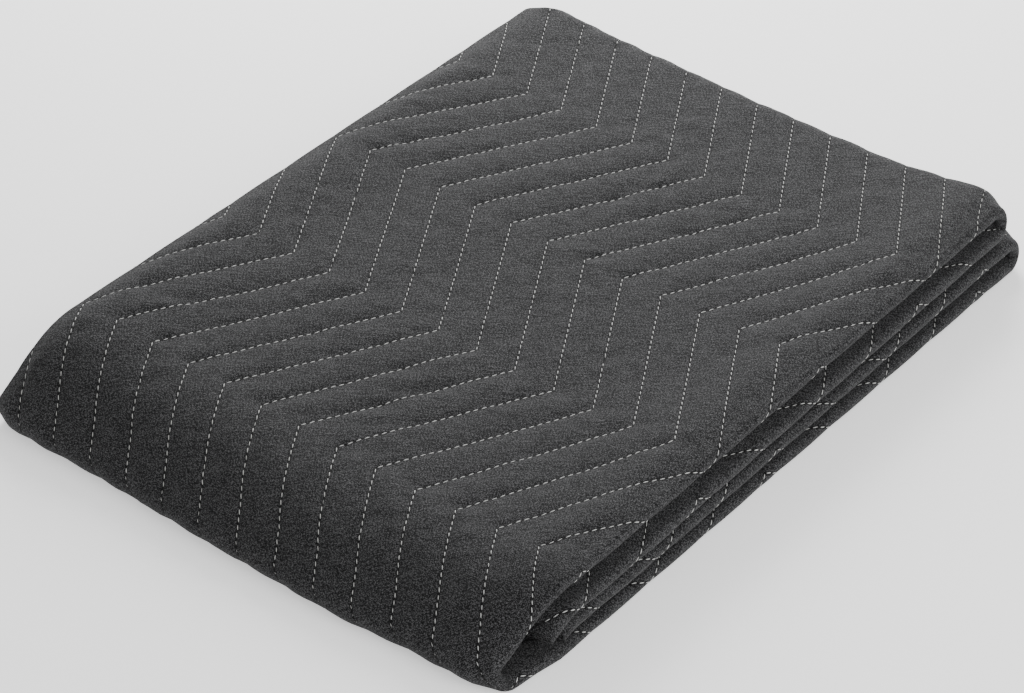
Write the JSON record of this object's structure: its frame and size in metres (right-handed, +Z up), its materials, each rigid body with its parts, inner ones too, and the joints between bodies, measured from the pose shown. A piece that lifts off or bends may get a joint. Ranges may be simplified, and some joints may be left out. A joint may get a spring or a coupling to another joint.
{
  "type": "moving blanket",
  "caption": "Dark grey quilted moving blanket, neatly folded into a flat stack, with white zigzag stitching",
  "frame": {"origin": "middle of the folded blanket's footprint, on the surface it rests on", "axes": "+X towards the long side with the nested folds, +Y along the folded blanket towards the two folds at its far end, +Z up"},
  "size_m": [0.3884, 0.5206, 0.0501],
  "materials": {
    "charcoal_cloth": "matte"
  },
  "bodies": {
    "root": {"moving_blanket": "charcoal_cloth"}
  },
  "joints": []
}
